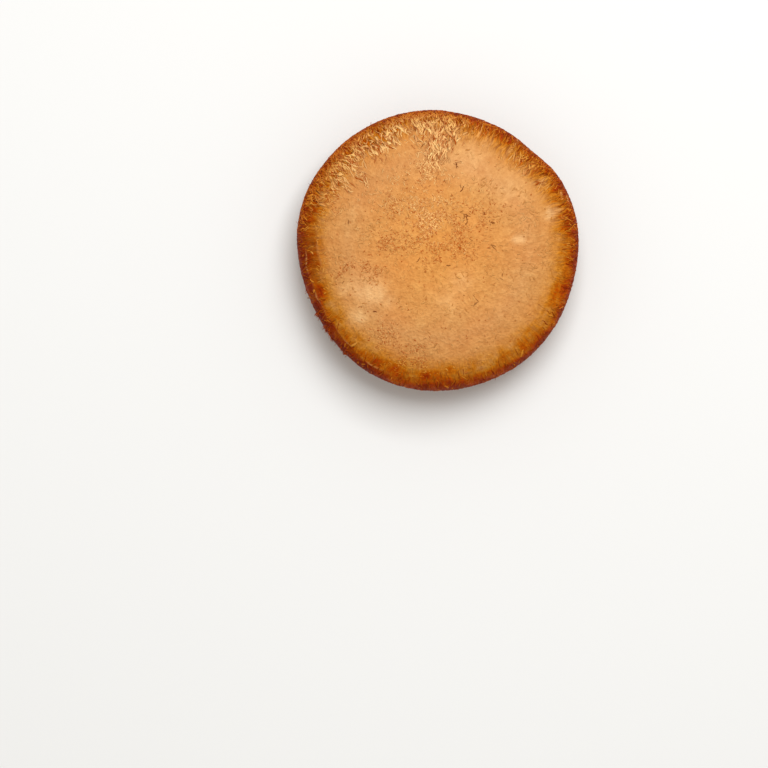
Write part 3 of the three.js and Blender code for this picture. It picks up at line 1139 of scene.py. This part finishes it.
def makeStemMaterial():
    material, tree, shader = newMaterial("stemFlesh")
    place = objectPlace(tree)
    reach = attribute(tree, "reach")
    side = smooth(1.0, 1.06, reach)
    grain = grainOf(place, 16.0, 70.0, 1.0)
    blotch, cloudy = mottled(place, 0.005, 2.2), mottled(place, 0.0008, 1.6)
    colour = mixColour(blotch * 0.5, tint(stemLook["flesh"]), tint(stemLook["blotch"]))
    colour = mixColour(grain["Gap"] * side * 0.55, colour, tint(stemLook["gap"]))
    cutRing = smooth(0.55, 0.95, reach) * (1.0 - smooth(1.02, 1.2, reach))
    colour = mixColour(cutRing * 0.6, colour, tint(stemLook["cutEdge"]))
    colour = mixColour(smooth(0.0, 0.4, 0.4 - reach) * 0.35, colour, tint(stemLook["cutMiddle"]))
    colour = mixColour(cloudy * 0.2, colour, tint(stemLook["cloud"]))
    normal = bumpNormal(grain["Fibre"] * side * 0.8 + cloudy * 0.3, 0.0002)
    dress(shader, colour, mix(0.55, 0.75, cloudy), 0.35, normal)
    return material


def makeFloorMaterial():
    material, tree, shader = newMaterial("paleFloor")
    shader.inputs["Base Color"].default_value = tint(studio["floorColour"])
    shader.inputs["Roughness"].default_value = 0.85
    # Seen from below, the floor lets the view through to the gills. It also lets the low fill light through.
    output = next(node for node in tree.nodes if node.type == "OUTPUT_MATERIAL")
    below = made(tree, "ShaderNodeNewGeometry", output="Backfacing")
    shadow = made(tree, "ShaderNodeLightPath", output="Is Shadow Ray")
    clear = made(tree, "ShaderNodeBsdfTransparent")
    values = {0: calc("MAXIMUM", below, shadow), 1: Wire(shader.outputs[0]), 2: clear}
    fillSocket(output.inputs["Surface"], made(tree, "ShaderNodeMixShader", values))
    return material


# Building
skinMaterial = makeSkinMaterial()
fibreColours = {  # darkening tint, light tint, how far in the pale tone is read, how far on both are read
    "capFibres": ((196, 130, 66), (255, 214, 144), 0.05),
    "capFlecks": ((200, 134, 74), (255, 208, 136), 0.0),
    "crownFibrils": ((214, 186, 150), (250, 204, 140), 0.0),
    "looseFibres": ((130, 78, 38), (190, 130, 70), 0.0),
    "bandFibres": ((170, 104, 44), (214, 128, 30), 0.03),
    "liningFibres": ((190, 150, 110), (240, 222, 190), 0.0),
    "stemFibres": ((200, 166, 128), (232, 212, 176), 0.0, 2.2),  # past the cap's brown, in its flesh tones
}
fibreMaterials = {name: makeFibreMaterial(name, *look) for name, look in fibreColours.items()}
gillMaterial = makeGillMaterial()
stemMaterial = makeStemMaterial()
print("materials made")

cap = newPiece("capSkin", turnedMesh("capSkin", capSection(), capForm["columns"]))
grow(cap, makeCapTree(), capTexture, skinMaterial)
belong(cap, "cap_skin", "cap")
gills = grow(newPiece("gillBlades", gillBedMesh()), makeGillTree(), gillForm, gillMaterial)
belong(gills, "gill_tissue", "gills")
stem = newPiece("stemFlesh", turnedMesh("stemFlesh", stemSection(), stemForm["columns"]))
grow(stem, makeStemTree(), stemTexture, stemMaterial)
belong(stem, "stem_flesh", "stem")
ring = grow(newPiece("veilRing", veilRingMesh()), makeVeilRingTree(), veilRingTexture, stemMaterial)
belong(ring, "stem_flesh")

fibreTree = makeFibreTree()
fibreLayers = {
    # Darkest below zero makes some fur strands fully dark: partly dark fibres, partly painted shade lines.
    "furStrands": {
        "Density Mask": "furDensity", "Per Area": 2700000.0, "Shortest": 0.0014, "Longest": 0.004,
        "Width": 0.00034, "Height": 0.0002, "Swing": 0.6, "Wave": 0.0011, "Darkest": -0.12, "Palest": 1.25,
        "Curl": 0.00016, "Seed": 11,
    },
    "skinScales": {
        "Density Mask": "furDensity", "Per Area": 1100000.0, "Shortest": 0.0012, "Longest": 0.003,
        "Width": 0.0008, "Height": 0.0002, "Swing": 0.8, "Wave": 0.0014, "Darkest": 0.2, "Curl": 0.0002,
        "Seed": 97,
    },
    "crownFlecks": {
        "Density Mask": "fleckDensity", "Per Area": 9000000.0, "Shortest": 0.0004, "Longest": 0.001,
        "Width": 0.0003, "Height": 0.00015, "Swing": 1.5, "Wave": 0.0006, "Darkest": 0.05, "Palest": 1.1,
        "Rings": 5, "Seed": 23,
    },
    "crownFibrils": {
        "Density Mask": "crownDensity", "Per Area": 1000000.0, "Shortest": 0.0006, "Longest": 0.002,
        "Width": 0.00036, "Height": 0.0001, "Swing": 1.3, "Wave": 0.0009, "Darkest": 0.2, "Palest": 0.9,
        "Curl": 0.00004, "Seed": 83,
    },
    "looseFibres": {
        "Density Mask": "looseDensity", "Per Area": 600000.0, "Shortest": 0.001, "Longest": 0.0026,
        "Width": 0.00028, "Height": 0.00014, "Swing": 1.5, "Wave": 0.0014, "Palest": 0.4, "Curl": 0.0001,
        "Seed": 31,
    },
    "bandFibres": {
        "Density Mask": "bandDensity", "Per Area": 620000.0, "Shortest": 0.0018, "Longest": 0.0045,
        "Width": 0.00034, "Height": 0.00012, "Wave": 0.0007, "Palest": 0.8, "Curl": 0.0001, "Seed": 47,
    },
    "veilShreds": {
        "Density Mask": "shredDensity", "Per Area": 620000.0, "Shortest": 0.001, "Longest": 0.0032,
        "Width": 0.00024, "Height": 0.00012, "Swing": 0.9, "Wave": 0.0016, "Darkest": 0.5, "Palest": 1.3,
        "Curl": 0.0012, "Seed": 71,
    },
    "liningFibres": {
        "Density Mask": "liningDensity", "Per Area": 500000.0, "Shortest": 0.001, "Longest": 0.003,
        "Width": 0.00025, "Height": 0.00012, "Swing": 1.2, "Wave": 0.0008, "Darkest": 0.2, "Seed": 53,
    },
    "stemFibres": {
        "Density Mask": "stemFibreDensity", "Per Area": 420000.0, "Shortest": 0.0015, "Longest": 0.005,
        "Width": 0.0003, "Height": 0.00014, "Swing": 0.25, "Wave": 0.0005, "Darkest": 0.1, "Seed": 61,
    },
}
borrowedColours = {
    "furStrands": "capFibres",
    "skinScales": "capFibres",
    "crownFlecks": "capFlecks",
    "veilShreds": "looseFibres",
}
for name, sizes in fibreLayers.items():
    skin, slot = (stem, "stem_flesh") if name == "stemFibres" else (cap, "cap_skin")
    layer = newPiece(name, bpy.data.meshes.new(name))
    grow(layer, fibreTree, {**sizes, "Skin": skin}, fibreMaterials[borrowedColours.get(name, name)])
    belong(layer, slot)
print("pieces made")

# Floor, light and camera
studio = {
    "floorHalf": 3.0,
    "floorColour": (229, 230, 230),
    "worldColour": (0.99, 0.95, 0.89),
    "worldStrength": 0.55,
    "keyPower": 12.4,
    "keyPlace": (0.16, 0.46, 1.1),
    "keySize": 0.7,
    "fillPower": 5.0,
    "fillPlace": (0.0, 0.0, -0.9),
    "fillSize": 1.2,
}
half = studio["floorHalf"]
floorMesh = bpy.data.meshes.new("floor")
corners = [(-half, -half, 0), (half, -half, 0), (half, half, 0), (-half, half, 0)]
floorMesh.from_pydata(corners, [], [(0, 1, 2, 3)])
floor = newPiece("floor", floorMesh)
floorMesh.materials.append(makeFloorMaterial())
floor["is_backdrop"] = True

world = bpy.data.worlds.new("studio")
world.use_nodes = True
background = next(node for node in world.node_tree.nodes if node.type == "BACKGROUND")
background.inputs["Color"].default_value = (*studio["worldColour"], 1.0)
background.inputs["Strength"].default_value = studio["worldStrength"]
bpy.context.scene.world = world


def addLight(name):
    light = bpy.data.lights.new(name, "AREA")
    light.energy = studio[name + "Power"]
    light.size = studio[name + "Size"]
    lamp = bpy.data.objects.new(name, light)
    bpy.context.scene.collection.objects.link(lamp)
    lamp.location = studio[name + "Place"]
    lamp.rotation_euler = (-lamp.location).to_track_quat("-Z", "Y").to_euler()


addLight("key")
addLight("fill")

photo = {
    "pixel": 0.00033,  # metres to a pixel of the picture, at the cap's girth
    "pixels": 768,
    "capCentre": (437.5, 250.0),  # where the cap's axis is in the picture
    "distance": 1.5,
    "sensor": 36.0,
}
middle = photo["pixels"] / 2
camera = bpy.data.cameras.new("camera")
camera.sensor_width = photo["sensor"]
camera.lens = photo["sensor"] * photo["distance"] / (photo["pixel"] * photo["pixels"])
viewer = bpy.data.objects.new("camera", camera)
bpy.context.scene.collection.objects.link(viewer)
viewer.location = (
    (middle - photo["capCentre"][0]) * photo["pixel"],
    (photo["capCentre"][1] - middle) * photo["pixel"],
    photo["distance"] + capForm["girthHeight"],
)
bpy.context.scene.camera = viewer
bpy.context.scene.view_settings.view_transform = "Standard"
bpy.context.view_layer.update()

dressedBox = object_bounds()
sizes = {"cad": [list(corner) for corner in cadBox], "dressed": [list(corner) for corner in dressedBox]}
